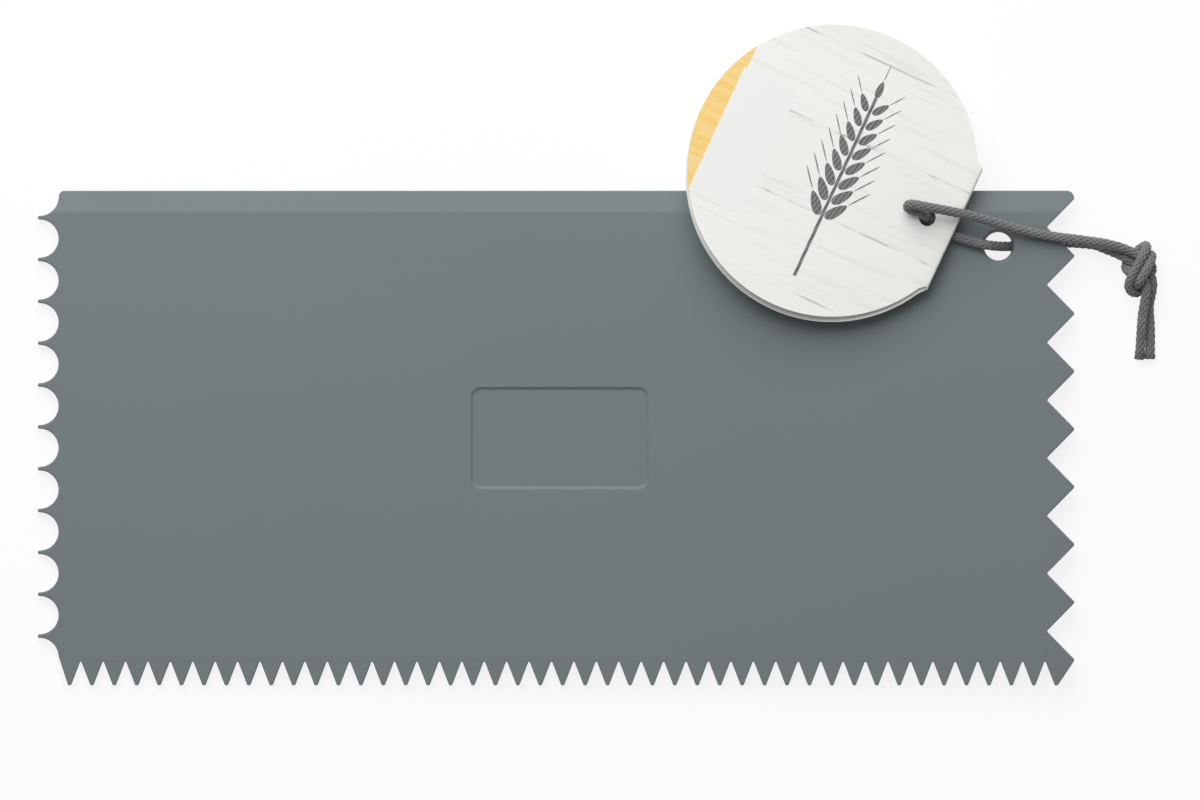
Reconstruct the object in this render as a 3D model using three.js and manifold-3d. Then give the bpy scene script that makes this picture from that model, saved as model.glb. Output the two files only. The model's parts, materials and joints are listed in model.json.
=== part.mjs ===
// Dough scraper: a flat plastic blade with four different edges, and a folded card tag on a knotted cord.
// Millimetres. +X points at the V comb, +Y at the straight edge and +Z up, out of the face of the blade.
// The origin is on the table, below the middle of the blade.
import * as THREE from "three";
import { mergeVertices } from "three/addons/utils/BufferGeometryUtils.js";
import Module from "manifold-3d";

// Blade
const BLADE_LENGTH = 220; // spike tips to V tooth tips
const BLADE_WIDTH = 105; // straight edge to fine tooth tips
const BLADE_THICKNESS = 2.2;
const BEVEL_WIDTH = 4.5; // on the face, along the straight edge
const BEVEL_EDGE = 1.4; // thickness left at the straight edge

// Left edge: spikes between half-round scallops
const SPIKE_PITCH = 8.885;
const SPIKE_TIP = 0.7;
const SCALLOP_DEPTH = 4.45;
const FIRST_SPIKE = 5.7; // below the straight edge
const LAST_SPIKE = 10.45; // above the fine tooth tips
const LEFT_CORNER = 1.1; // rounding where the spiked and straight edges meet

// Bottom edge: fine teeth
const FINE_PITCH = 4.762;
const FINE_DEPTH = 5;
const FINE_TIP = 0.6;
const FINE_ROOT = 0.3;
const FIRST_FINE = 6.7; // from the spike tips
const LAST_FINE = 3.8; // from the V tooth tips

// Right edge: V teeth
const VEE_PITCH = 12.243;
const VEE_DEPTH = 5.8;
const VEE_TIP = 0.4;
const FIRST_VEE = 1.6; // below the straight edge, also the rounding of that corner
const LAST_VEE = 5.4; // above the fine tooth tips

// Hanging hole and the sunk panel
const HOLE_DIAMETER = 6.6;
const HOLE_FROM_RIGHT = 16.1;
const HOLE_FROM_TOP = 11.8;
const PANEL_LENGTH = 36.5;
const PANEL_WIDTH = 20.3;
const PANEL_DEPTH = 0.4;
const PANEL_WALL = 0.8; // run of the sloping wall, outside the floor of the panel
const PANEL_CORNER = 1.5;
const PANEL_OFF_MIDDLE = 0.8; // towards the V comb

// Cord
const CORD_DIAMETER = 2.2;
const CORD_SIDES = 8;
const CLEARANCE = 0.3; // between pieces that touch
const PROP_FROM_HOLE = 4; // where the strand under the blade props it up
const KNOT_WIDTH = 7.5;
const KNOT_LENGTH = 12.4;
const KNOT_THICKNESS = 6.9;
const KNOT_FROM_HOLE = { x: 30.3, y: -4.8 };
const TAIL_REACH = 12.5; // from the knot to the cut ends

// Tag: a round card folded in two
const TAG_RADIUS = 30.95;
const FOLD_FROM_CENTRE = 28.4;
const FOLD_OFF_MIDDLE = 0.4; // the back leaf reaches this much less far from the fold
const FOLD_LENGTH = 27.8;
const CARD_THICKNESS = 0.45;
const LEAF_GAP = 0.3;
const LEAF_SHIFT = 1.1; // the back leaf slips along the fold
const TAG_TILT = THREE.MathUtils.degToRad(3.5); // the cord holds the far side of the tag up
const LEAF_LIFT = THREE.MathUtils.degToRad(2.5); // the card springs open a little
const TAG_HOLE_DIAMETER = 3.6;
const TAG_HOLE_FROM_FOLD = 5.9;
const HOLE_OFF_MIDDLE = 0.6; // the front leaf reaches this much further above its hole than below
const FOLD_BEARING = THREE.MathUtils.degToRad(-24.8); // from the tag's centre to its fold
const TAG_HOLE_FROM_HOLE = { x: -15.15, y: 6.05 };

// Places that several pieces share, in the frame of the blade: its underside is at height 0
const left = -BLADE_LENGTH / 2;
const right = BLADE_LENGTH / 2;
const top = BLADE_WIDTH / 2;
const bottom = -BLADE_WIDTH / 2;
const hole = { x: right - HOLE_FROM_RIGHT, y: top - HOLE_FROM_TOP };
const tagHole = { x: hole.x + TAG_HOLE_FROM_HOLE.x, y: hole.y + TAG_HOLE_FROM_HOLE.y };
const knot = { x: hole.x + KNOT_FROM_HOLE.x, y: hole.y + KNOT_FROM_HOLE.y };

// The strand under the blade lifts its right end, so the blade leans on its spikes.
const tilt = Math.asin((CORD_DIAMETER + CLEARANCE) / (hole.x + PROP_FROM_HOLE - left));
const tableAt = (x) => -(x - left) * Math.tan(tilt);

// Heights of the cord's centre line and of the tag
const cordRadius = CORD_DIAMETER / 2;
const overBlade = BLADE_THICKNESS + CLEARANCE + cordRadius;
const underBlade = -CLEARANCE - cordRadius;
const backLeafHeight = overBlade + cordRadius + CLEARANCE;
const foldHeight = backLeafHeight + CARD_THICKNESS + LEAF_GAP / 2;
const leafTopAtHole =
  foldHeight + LEAF_GAP / 2 + CARD_THICKNESS + TAG_HOLE_FROM_FOLD * Math.sin(TAG_TILT + LEAF_LIFT);
const overLeaf = leafTopAtHole + CLEARANCE + cordRadius;
const onTable = (x) => tableAt(x) + cordRadius + CLEARANCE / 5;
const knotHeight = tableAt(knot.x) + KNOT_THICKNESS / 2 + CLEARANCE / 3;

const plastic = new THREE.MeshStandardMaterial({ color: 0x767f81, roughness: 0.55, metalness: 0 });
const card = new THREE.MeshStandardMaterial({ color: 0xecece9, roughness: 0.7, metalness: 0 });
const cotton = new THREE.MeshStandardMaterial({ color: 0x5c5c5b, roughness: 0.85, metalness: 0 });

const wasm = await Module();
wasm.setup();

function solidOf(geometry) {
  const bare = geometry.clone();
  bare.deleteAttribute("normal");
  bare.deleteAttribute("uv");
  const merged = mergeVertices(bare, 1e-4);
  return new wasm.Manifold(
    new wasm.Mesh({
      numProp: 3,
      vertProperties: merged.getAttribute("position").array,
      triVerts: new Uint32Array(merged.getIndex().array),
    }),
  );
}

function geometryOf(solid) {
  const mesh = solid.getMesh();
  const geometry = new THREE.BufferGeometry();
  geometry.setAttribute("position", new THREE.BufferAttribute(mesh.vertProperties, 3));
  geometry.setIndex(new THREE.BufferAttribute(mesh.triVerts, 1));
  geometry.computeVertexNormals();
  return geometry;
}

function cut(geometry, ...cutters) {
  return geometryOf(cutters.reduce((rest, cutter) => rest.subtract(solidOf(cutter)), solidOf(geometry)));
}

function namedMesh(name, geometry, material) {
  const mesh = new THREE.Mesh(geometry, material);
  mesh.name = name;
  return mesh;
}

// Evenly spaced places from start to end, as near to the pitch as whole steps allow.
function spread(start, end, pitch) {
  const steps = Math.round(Math.abs(end - start) / pitch);
  return Array.from({ length: steps + 1 }, (_, i) => start + ((end - start) * i) / steps);
}

function circlePoints(diameter, sides) {
  return Array.from({ length: sides }, (_, i) => {
    const turn = (2 * Math.PI * i) / sides;
    return new THREE.Vector2((diameter / 2) * Math.cos(turn), (diameter / 2) * Math.sin(turn));
  });
}

function holePath(centre, diameter, sides) {
  const offset = new THREE.Vector2(centre.x, centre.y);
  return new THREE.Path(circlePoints(diameter, sides).map((p) => p.add(offset)));
}

// The left edge, drawn from the straight edge down: arcs between the spikes, with half an arc at each end.
function drawSpikes(shape) {
  const spikes = spread(top - FIRST_SPIKE, bottom + LAST_SPIKE, SPIKE_PITCH);
  const pitch = spikes[0] - spikes[1];
  const halfGap = (pitch - SPIKE_TIP) / 2;
  const radius = (halfGap ** 2 + SCALLOP_DEPTH ** 2) / (2 * SCALLOP_DEPTH);
  const centreX = left + SCALLOP_DEPTH - radius;
  const reach = Math.atan2(halfGap, left - centreX);
  const root = left + SCALLOP_DEPTH;
  shape.lineTo(root + LEFT_CORNER, top);
  shape.quadraticCurveTo(root, top, root, spikes[0] + pitch / 2);
  shape.absarc(centreX, spikes[0] + pitch / 2, radius, 0, -reach, true);
  for (const spike of spikes.slice(0, -1)) {
    shape.lineTo(left, spike - SPIKE_TIP / 2);
    shape.absarc(centreX, spike - pitch / 2, radius, reach, -reach, true);
  }
  const last = spikes.at(-1);
  shape.lineTo(left, last - SPIKE_TIP / 2);
  shape.absarc(centreX, last - pitch / 2, radius, reach, 0, true);
}

// The bottom edge, drawn from left to right.
function drawFineTeeth(shape) {
  const teeth = spread(left + FIRST_FINE, right - LAST_FINE, FINE_PITCH);
  const halfPitch = (teeth[1] - teeth[0]) / 2;
  teeth.forEach((tooth, i) => {
    if (i > 0) {
      shape.lineTo(tooth - halfPitch - FINE_ROOT / 2, bottom + FINE_DEPTH);
      shape.lineTo(tooth - halfPitch + FINE_ROOT / 2, bottom + FINE_DEPTH);
    }
    shape.lineTo(tooth - FINE_TIP / 2, bottom);
    shape.lineTo(tooth + FINE_TIP / 2, bottom);
  });
}

// The right edge, drawn from the bottom up. Its topmost tooth is the rounded corner of the blade.
function drawVeeTeeth(shape) {
  const teeth = spread(bottom + LAST_VEE, top - FIRST_VEE, VEE_PITCH);
  const halfPitch = (teeth[1] - teeth[0]) / 2;
  for (const tooth of teeth.slice(0, -1)) {
    shape.lineTo(right, tooth - VEE_TIP / 2);
    shape.lineTo(right, tooth + VEE_TIP / 2);
    shape.lineTo(right - VEE_DEPTH, tooth + halfPitch);
  }
  const corner = teeth.at(-1);
  shape.lineTo(right, corner - VEE_TIP / 2);
  shape.quadraticCurveTo(right, top, right - FIRST_VEE, top);
}

function bladeOutline() {
  const shape = new THREE.Shape();
  shape.moveTo(right - FIRST_VEE, top);
  drawSpikes(shape);
  drawFineTeeth(shape);
  drawVeeTeeth(shape);
  shape.holes.push(holePath(hole, HOLE_DIAMETER, 32));
  return shape;
}

// A wedge that takes the face down to the thin straight edge.
function bevelCutter() {
  const beyond = 1;
  const drop = ((BLADE_THICKNESS - BEVEL_EDGE) * (BEVEL_WIDTH + beyond)) / BEVEL_WIDTH;
  const section = new THREE.Shape([
    new THREE.Vector2(top - BEVEL_WIDTH, BLADE_THICKNESS),
    new THREE.Vector2(top + beyond, BLADE_THICKNESS - drop),
    new THREE.Vector2(top + beyond, BLADE_THICKNESS + beyond),
    new THREE.Vector2(top - BEVEL_WIDTH, BLADE_THICKNESS + beyond),
  ]);
  const wedge = new THREE.ExtrudeGeometry(section, {
    depth: BLADE_LENGTH + 2 * beyond,
    bevelEnabled: false,
  });
  const alongX = new THREE.Matrix4().makeBasis(
    new THREE.Vector3(0, 1, 0),
    new THREE.Vector3(0, 0, 1),
    new THREE.Vector3(1, 0, 0),
  );
  return wedge.applyMatrix4(alongX).translate(left - beyond, 0, 0);
}

// The floor of the panel with walls that slope out to the face.
function panelCutter() {
  const x = PANEL_LENGTH / 2;
  const y = PANEL_WIDTH / 2;
  const floor = new THREE.Shape();
  floor.moveTo(-x + PANEL_CORNER, -y);
  floor.absarc(x - PANEL_CORNER, -y + PANEL_CORNER, PANEL_CORNER, -Math.PI / 2, 0);
  floor.absarc(x - PANEL_CORNER, y - PANEL_CORNER, PANEL_CORNER, 0, Math.PI / 2);
  floor.absarc(-x + PANEL_CORNER, y - PANEL_CORNER, PANEL_CORNER, Math.PI / 2, Math.PI);
  floor.absarc(-x + PANEL_CORNER, -y + PANEL_CORNER, PANEL_CORNER, Math.PI, 1.5 * Math.PI);
  const cutter = new THREE.ExtrudeGeometry(floor, {
    depth: BLADE_THICKNESS,
    bevelThickness: PANEL_DEPTH,
    bevelSize: PANEL_WALL,
    bevelSegments: 1,
    curveSegments: 3,
  });
  return cutter.translate(PANEL_OFF_MIDDLE, 0, BLADE_THICKNESS);
}

function makeBlade() {
  const plate = new THREE.ExtrudeGeometry(bladeOutline(), {
    depth: BLADE_THICKNESS,
    bevelEnabled: false,
    curveSegments: 5,
  });
  return namedMesh("blade", cut(plate, bevelCutter(), panelCutter()), plastic);
}

// One leaf in the frame of the tag: the middle of the fold is the origin, and +X points away from the leaf.
// shift slips the outline along the fold, and the hole stays where the cord goes through both leaves.
function makeLeaf(name, shift, foldFromCentre) {
  const shoulder = Math.asin(FOLD_LENGTH / 2 / TAG_RADIUS);
  const shape = new THREE.Shape();
  shape.moveTo(0, shift - FOLD_LENGTH / 2);
  shape.lineTo(0, shift + FOLD_LENGTH / 2);
  shape.absarc(-foldFromCentre, shift, TAG_RADIUS, shoulder, 2 * Math.PI - shoulder);
  shape.holes.push(holePath({ x: -TAG_HOLE_FROM_FOLD, y: 0 }, TAG_HOLE_DIAMETER, 16));
  const leaf = new THREE.ExtrudeGeometry(shape, {
    depth: CARD_THICKNESS,
    bevelEnabled: false,
    curveSegments: 28,
  });
  return namedMesh(name, leaf, card);
}

function makeTag() {
  const tag = new THREE.Group();
  tag.position.set(
    tagHole.x + TAG_HOLE_FROM_FOLD * Math.cos(FOLD_BEARING),
    tagHole.y + TAG_HOLE_FROM_FOLD * Math.sin(FOLD_BEARING),
    foldHeight,
  );
  tag.rotation.set(0, TAG_TILT, FOLD_BEARING, "ZYX");
  const back = makeLeaf(
    "tag_back_leaf",
    HOLE_OFF_MIDDLE - LEAF_SHIFT,
    FOLD_FROM_CENTRE - FOLD_OFF_MIDDLE,
  );
  back.position.z = backLeafHeight - foldHeight;
  const hinge = new THREE.Group();
  hinge.rotation.y = LEAF_LIFT;
  const front = makeLeaf("tag_front_leaf", HOLE_OFF_MIDDLE, FOLD_FROM_CENTRE);
  front.position.z = LEAF_GAP / 2;
  hinge.add(front);
  tag.add(back, hinge);
  return tag;
}

function makeCord(name, steps, points) {
  const route = points.map((p) => new THREE.Vector3(...p));
  const section = new THREE.Shape(circlePoints(CORD_DIAMETER, CORD_SIDES));
  const tube = new THREE.ExtrudeGeometry(section, {
    steps,
    extrudePath: new THREE.CatmullRomCurve3(route),
    bevelEnabled: false,
  });
  return namedMesh(name, tube, cotton);
}

// Up through the front leaf, left along it, back over itself and past the fold.
function makeBight() {
  const { x, y } = tagHole;
  const turn = CORD_DIAMETER + 2 * CLEARANCE;
  return makeCord("cord_bight", 30, [
    [x - 0.3, y + 0.25, foldHeight + CLEARANCE / 2],
    [x - 0.3, y + 0.25, leafTopAtHole],
    [x - 0.75, y + 0.55, overLeaf - 0.45],
    [x - 1.8, y + 1.15, overLeaf + 0.1],
    [x - 3, y + 1.5, overLeaf + 0.2],
    [x - 3.9, y + 1.8, overLeaf + 0.75],
    [x - 4.25, y + 2.3, overLeaf + 0.1 + turn / 2],
    [x - 3.9, y + 2.8, overLeaf - 0.5 + turn],
    [x - 2.8, y + 2.75, overLeaf + turn],
    [x - 1.2, y + 2.4, overLeaf - 0.05 + turn],
    [x + 1, y + 2, overLeaf - 0.5 + turn],
    [x + 4, y + 1.45, overLeaf - 1.6 + turn],
    [x + 7.1, y + 0.85, overLeaf - 2.75 + turn],
    [x + 8.8, y + 0.5, overLeaf - 3.3 + turn],
  ]);
}

// Down from the fold onto the face of the blade, over the V comb and to the knot.
function makeFrontStrand() {
  const start = overLeaf - 3.4 + CORD_DIAMETER + 2 * CLEARANCE;
  return makeCord("cord_front_strand", 14, [
    [tagHole.x + 9.1, tagHole.y + 0.4, start],
    [hole.x + 0.4, hole.y + 4.65, overBlade + 1.6],
    [hole.x + 6, hole.y + 3.2, overBlade + 0.45],
    [hole.x + 11, hole.y + 2.15, overBlade + 0.05],
    [hole.x + 16, hole.y + 1.5, overBlade],
    [hole.x + 20, hole.y + 1.05, overBlade - 0.15],
    [hole.x + 23.6, hole.y + 0.3, knotHeight + 1.9],
    [knot.x - 3.7, knot.y + 4, knotHeight + 1.4],
  ]);
}

// From the tag's hole along the back of the tag, down through the hanging hole and under the blade to the knot.
function makeBackStrand() {
  return makeCord("cord_back_strand", 30, [
    [tagHole.x - 0.3, tagHole.y + 0.25, foldHeight - CLEARANCE / 2],
    [tagHole.x - 0.3, tagHole.y + 0.25, backLeafHeight - 0.2],
    [tagHole.x + 0.45, tagHole.y - 0.35, overBlade + 0.45],
    [tagHole.x + 1.7, tagHole.y - 1.25, overBlade],
    [tagHole.x + 5.4, tagHole.y - 3.7, overBlade],
    [hole.x - 5.4, hole.y + 0.9, overBlade],
    [hole.x - 2.7, hole.y + 0.3, overBlade - 0.1],
    [hole.x, hole.y, BLADE_THICKNESS / 2],
    [hole.x + 2.7, hole.y, underBlade + 0.2],
    [hole.x + 6, hole.y + 0.25, underBlade],
    [hole.x + 13.5, hole.y + 0.8, underBlade],
    [hole.x + 20, hole.y + 0.4, underBlade],
    [hole.x + 23.6, hole.y - 0.6, knotHeight - 1.4],
    [knot.x - 4, knot.y + 2.8, knotHeight - 1.1],
  ]);
}

function makeKnot() {
  const geometry = new THREE.SphereGeometry(1, 16, 12);
  geometry.scale(KNOT_WIDTH / 2, KNOT_LENGTH / 2, KNOT_THICKNESS / 2);
  const mesh = namedMesh("cord_knot", geometry, cotton);
  mesh.position.set(knot.x, knot.y, knotHeight);
  return mesh;
}

// The tails leave the knot one above the other and end side by side on the table.
function makeTails() {
  const start = knot.y - KNOT_LENGTH / 2 - CLEARANCE;
  const end = start - TAIL_REACH;
  const middle = (start + end) / 2;
  const apart = CORD_DIAMETER + CLEARANCE;
  const x = knot.x + 1;
  const low = onTable(x + apart);
  return [
    makeCord("cord_left_tail", 5, [
      [x - 0.3, start, low + apart],
      [x - 0.9, middle, low + 1.7],
      [x - 1.25, end, low],
    ]),
    makeCord("cord_right_tail", 5, [
      [x + 0.4, start, low],
      [x + 1, middle, low],
      [x - 1.25 + apart, end, low],
    ]),
  ];
}

// Everything is drawn in the frame of the blade, which is then leaned on its spikes.
const leaning = new THREE.Group();
leaning.rotation.y = -tilt;
leaning.position.z = -left * Math.sin(tilt);
leaning.add(makeBlade(), makeTag(), makeBight(), makeFrontStrand(), makeBackStrand(), makeKnot(), ...makeTails());

const scraper = new THREE.Group();
scraper.add(leaning);

export default scraper;
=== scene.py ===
"""Dough scraper: a grey plastic blade with four working edges, and a folded card tag on a knotted cord."""
import json
import math
from functools import partialmethod

import bmesh
import bpy
import numpy as np
from bpy.props import FloatProperty, FloatVectorProperty, IntProperty, PointerProperty
from mathutils import Color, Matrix
from mathutils.geometry import delaunay_2d_cdt


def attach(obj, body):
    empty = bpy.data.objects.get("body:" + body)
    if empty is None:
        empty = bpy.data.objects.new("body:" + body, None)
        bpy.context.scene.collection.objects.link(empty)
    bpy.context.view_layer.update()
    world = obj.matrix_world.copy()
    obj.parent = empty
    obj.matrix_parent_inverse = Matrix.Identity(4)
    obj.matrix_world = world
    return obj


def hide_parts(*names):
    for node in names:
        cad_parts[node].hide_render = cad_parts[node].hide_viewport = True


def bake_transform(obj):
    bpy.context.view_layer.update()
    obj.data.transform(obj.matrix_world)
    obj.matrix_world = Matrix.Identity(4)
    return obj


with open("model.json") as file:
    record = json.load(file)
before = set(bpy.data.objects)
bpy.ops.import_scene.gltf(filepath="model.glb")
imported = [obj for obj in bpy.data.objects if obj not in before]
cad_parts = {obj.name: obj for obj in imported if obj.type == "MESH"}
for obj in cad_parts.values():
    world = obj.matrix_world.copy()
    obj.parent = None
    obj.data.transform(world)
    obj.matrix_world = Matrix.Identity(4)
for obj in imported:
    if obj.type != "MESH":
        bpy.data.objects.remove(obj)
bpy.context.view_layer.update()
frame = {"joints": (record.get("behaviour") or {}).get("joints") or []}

bl_info = {
    "name": "Dough Scraper",
    "version": (1, 0, 0),
    "blender": (4, 5, 0),
    "location": "View3D > Sidebar > Scraper",
    "description": "Dresses the packed dough scraper: blade, folded tag, braided cord and stage",
    "category": "Object",
}

MM = 0.001
JOINTS = {joint["name"]: joint for joint in frame["joints"]}

# The blade leans on its spikes, and the hinge of the cord loop stands square to its face.
LEAN = math.asin(-JOINTS["loop_swing"]["axis"][0])
FOLD_DIRECTION = JOINTS["tag_open"]["axis"]


def mm(name, description, millimetres):
    """A length, given in millimetres."""
    default = millimetres * MM
    return FloatProperty(name=name, description=description, default=default, precision=5, unit="LENGTH")


def degrees(name, description, turn):
    return FloatProperty(name=name, description=description, default=math.radians(turn), subtype="ANGLE")


def portion(name, description, value):
    return FloatProperty(name=name, description=description, default=value)


def whole_number(name, description, value, least):
    return IntProperty(name=name, description=description, default=value, min=least)


def rgb(name, description, *levels):
    """A colour as written on screen, in levels of 255."""
    default = [level / 255 for level in levels]
    return FloatVectorProperty(
        name=name, description=description, default=default, min=0, max=1, subtype="COLOR_GAMMA"
    )


class BladeSettings(bpy.types.PropertyGroup):
    """Sizes and colour of the plastic blade"""

    length: mm("Length", "Spike tips to V tooth tips", 220)
    width: mm("Width", "Straight edge to fine tooth tips", 105)
    thickness: mm("Thickness", "Thickness of the plate", 2.2)
    bevel_width: mm("Bevel width", "Width of the bevel along the straight edge", 4.5)
    bevel_edge: mm("Bevel edge", "Thickness left at the straight edge", 1.4)
    edge_round: mm("Edge rounding", "Radius of the moulded edges", 0.22)
    tip_round: mm("Tip rounding", "Radius of the tooth tips and notch roots", 0.28)
    spike_pitch: mm("Spike pitch", "Spacing of the spikes on the left edge", 8.885)
    spike_tip: mm("Spike tip", "Flat left on each spike", 0.7)
    scallop_depth: mm("Scallop depth", "Depth of the scallops between the spikes", 4.45)
    first_spike: mm("First spike", "First spike below the straight edge", 5.7)
    last_spike: mm("Last spike", "Last spike above the fine tooth tips", 10.45)
    left_corner: mm("Left corner", "Rounding where the spiked and straight edges meet", 1.1)
    fine_pitch: mm("Fine pitch", "Spacing of the fine teeth on the bottom edge", 4.762)
    fine_depth: mm("Fine depth", "Depth of the fine teeth", 5)
    fine_tip: mm("Fine tip", "Flat left on each fine tooth", 0.6)
    fine_root: mm("Fine root", "Flat left between two fine teeth", 0.3)
    first_fine: mm("First fine tooth", "First fine tooth from the spike tips", 6.7)
    last_fine: mm("Last fine tooth", "Last fine tooth from the V tooth tips", 3.8)
    vee_pitch: mm("V pitch", "Spacing of the V teeth on the right edge", 12.243)
    vee_depth: mm("V depth", "Depth of the V notches", 5.8)
    vee_tip: mm("V tip", "Flat left on each V tooth", 0.4)
    first_vee: mm("Right corner", "Topmost V tooth below the straight edge, and the rounding there", 1.6)
    last_vee: mm("Last V tooth", "Lowest V tooth above the fine tooth tips", 5.4)
    hole_diameter: mm("Hole diameter", "Diameter of the hanging hole", 6.6)
    hole_rim: mm("Hole rim", "Rounding of the rim of the hanging hole", 0.4)
    hole_draft: mm("Hole draft", "How much the hole narrows towards the back", 0.3)
    hole_from_right: mm("Hole from right", "Hanging hole from the V tooth tips", 16.1)
    hole_from_top: mm("Hole from top", "Hanging hole from the straight edge", 11.8)
    panel_length: mm("Panel length", "Length of the floor of the sunk panel", 36.5)
    panel_width: mm("Panel width", "Width of the floor of the sunk panel", 20.3)
    panel_depth: mm("Panel depth", "Depth of the sunk panel", 0.4)
    panel_wall: mm("Panel wall", "Run of the wall round the panel", 0.8)
    panel_corner: mm("Panel corner", "Corner radius of the floor of the panel", 1.5)
    panel_off_middle: mm("Panel off middle", "Middle of the panel from the blade's, towards the V comb", 0.8)
    colour: rgb("Plastic", "Colour of the moulded plastic", 111, 120, 122)


class TagSettings(bpy.types.PropertyGroup):
    """Sizes and colours of the folded card tag"""

    radius: mm("Radius", "Radius of the round card", 30.95)
    fold_from_centre: mm("Fold from centre", "Fold line from the centre of the card", 28.4)
    fold_off_middle: mm("Fold off middle", "How much less far the back leaf reaches from the fold", 0.4)
    fold_length: mm("Fold length", "Length of the fold", 27.8)
    card: mm("Card", "Thickness of the card", 0.45)
    leaf_gap: mm("Leaf gap", "Gap between the leaves at the fold", 0.3)
    leaf_shift: mm("Leaf shift", "Slip of the back leaf along the fold", 1.1)
    tilt: degrees("Tilt", "How far the cord holds the whole tag up from the blade", 3.5)
    leaf_lift: degrees("Leaf lift", "How far the front leaf springs open", 2.5)
    hole_diameter: mm("Hole diameter", "Diameter of the punched hole", 3.6)
    hole_from_fold: mm("Hole from fold", "Punched hole from the fold", 5.9)
    hole_off_middle: mm("Hole off middle", "Punched hole below the middle of the front leaf's fold", 0.6)
    bow: mm("Bow", "How far the front leaf bows between its sides", 0.35)
    plank: mm("Plank", "Width of the printed planks", 17.4)
    ear_length: mm("Ear length", "Length of the printed ear of wheat", 46)
    grain_length: mm("Grain length", "Length of the largest printed grain", 5.4)
    grain_width: mm("Grain width", "Width of the largest printed grain", 2.1)
    grain_pairs: whole_number("Grain pairs", "Pairs of grains on the ear", 8, 1)
    paper: rgb("Paper", "Colour of the coated card", 246, 246, 243)
    sun: rgb("Segment", "Colour of the printed segment", 250, 208, 116)
    ink: rgb("Ink", "Colour of the printed ear", 82, 82, 82)


class CordSettings(bpy.types.PropertyGroup):
    """Sizes and colour of the braided cord"""

    diameter: mm("Diameter", "Diameter of the cord", 2.2)
    clearance: mm("Clearance", "Gap between pieces that touch", 0.3)
    yarn: mm("Yarn", "Diameter of one yarn", 0.62)
    braid_pitch: mm("Braid pitch", "Length of one turn of a yarn", 8.4)
    step: mm("Step", "Spacing of the sections along a yarn", 0.3)
    yarns: whole_number("Yarns", "Yarns in the braid, half of them each way", 12, 4)
    colour: rgb("Cotton", "Colour of the waxed cotton", 108, 108, 110)


class StageSettings(bpy.types.PropertyGroup):
    """Camera, lamps and floor"""

    view_width: mm("View width", "Width of the picture at the blade", 254.8)
    view_x: mm("View X", "Middle of the picture along the blade", 9.35)
    view_y: mm("View Y", "Middle of the picture across the blade", 8.07)
    camera_height: mm("Camera height", "Height of the camera over the blade", 3500)
    floor_size: mm("Floor size", "Side of the floor", 6000)
    key_size: mm("Key size", "Side of the key lamp", 800)
    key_distance: mm("Key distance", "Distance of the key lamp", 850)
    key_elevation: degrees("Key elevation", "Height of the key lamp over the horizon", 45)
    key_bearing: degrees("Key bearing", "Bearing of the key lamp, from the straight edge to the spikes", 12)
    key_level: portion("Key level", "Share of the light from the key lamp", 0.86)
    sky_level: portion("Sky level", "Share of the light from all round", 0.23)
    floor: rgb("Floor", "Colour of the floor", 253, 253, 253)


class ScraperSettings(bpy.types.PropertyGroup):
    """All settings of the scraper"""

    blade: PointerProperty(type=BladeSettings)
    tag: PointerProperty(type=TagSettings)
    cord: PointerProperty(type=CordSettings)
    stage: PointerProperty(type=StageSettings)


# Shared places, in the frame of the blade: its underside is at height 0 and it lies level.


class Places:
    """Places and heights that several pieces share."""

    TAG_HOLE_FROM_HOLE = (-15.15 * MM, 6.05 * MM)
    KNOT_FROM_HOLE = (30.3 * MM, -4.8 * MM)
    KNOT_THICKNESS = 6.9 * MM
    KNOT_LENGTH = 12.4 * MM
    TAIL_REACH = 12.5 * MM

    def __init__(self, settings):
        blade, tag, cord = settings.blade, settings.tag, settings.cord
        radius = cord.diameter / 2
        self.right = blade.length / 2
        self.top = blade.width / 2
        self.hole = np.array([self.right - blade.hole_from_right, self.top - blade.hole_from_top])
        self.tag_hole = self.hole + self.TAG_HOLE_FROM_HOLE
        self.knot = self.hole + self.KNOT_FROM_HOLE
        self.over_blade = blade.thickness + cord.clearance + radius
        self.under_blade = -cord.clearance - radius
        self.back_leaf = self.over_blade + radius + cord.clearance
        self.fold = self.back_leaf + tag.card + tag.leaf_gap / 2
        rise = tag.hole_from_fold * math.sin(tag.tilt + tag.leaf_lift)
        self.leaf_top = self.fold + tag.leaf_gap / 2 + tag.card + rise
        self.over_leaf = self.leaf_top + cord.clearance + radius
        self.knot_height = self.table(self.knot[0]) + self.KNOT_THICKNESS / 2 + cord.clearance / 3

    def table(self, x):
        """Height of the table below the blade."""
        return -(x + self.right) * math.tan(LEAN)

    def leaned(self, points):
        """Points in the frame of the blade, in the row frame."""
        x, y, height = np.moveaxis(np.asarray(points, float), -1, 0)
        sine, cosine = math.sin(LEAN), math.cos(LEAN)
        return np.stack([x * cosine - height * sine, y, (x + self.right) * sine + height * cosine], -1)


# Node helpers


class Field:
    """A node socket that takes plain arithmetic, so that a rule reads as it would on paper."""

    def __init__(self, socket):
        self.socket = socket
        self.tree = socket.id_data

    def apply(self, operation, *values):
        return made(self.tree, "ShaderNodeMath", dict(enumerate((self, *values))), operation=operation)

    __add__ = __radd__ = partialmethod(apply, "ADD")
    __sub__ = partialmethod(apply, "SUBTRACT")
    __mul__ = partialmethod(apply, "MULTIPLY")
    __truediv__ = partialmethod(apply, "DIVIDE")
    __mod__ = partialmethod(apply, "FLOORED_MODULO")
    __lt__ = partialmethod(apply, "LESS_THAN")
    __gt__ = partialmethod(apply, "GREATER_THAN")
    whole = partialmethod(apply, "FLOOR")
    nearest = partialmethod(apply, "ROUND")
    absolute = partialmethod(apply, "ABSOLUTE")
    sin = partialmethod(apply, "SINE")
    cos = partialmethod(apply, "COSINE")

    def __rsub__(self, other):
        return self * -1 + other


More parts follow.
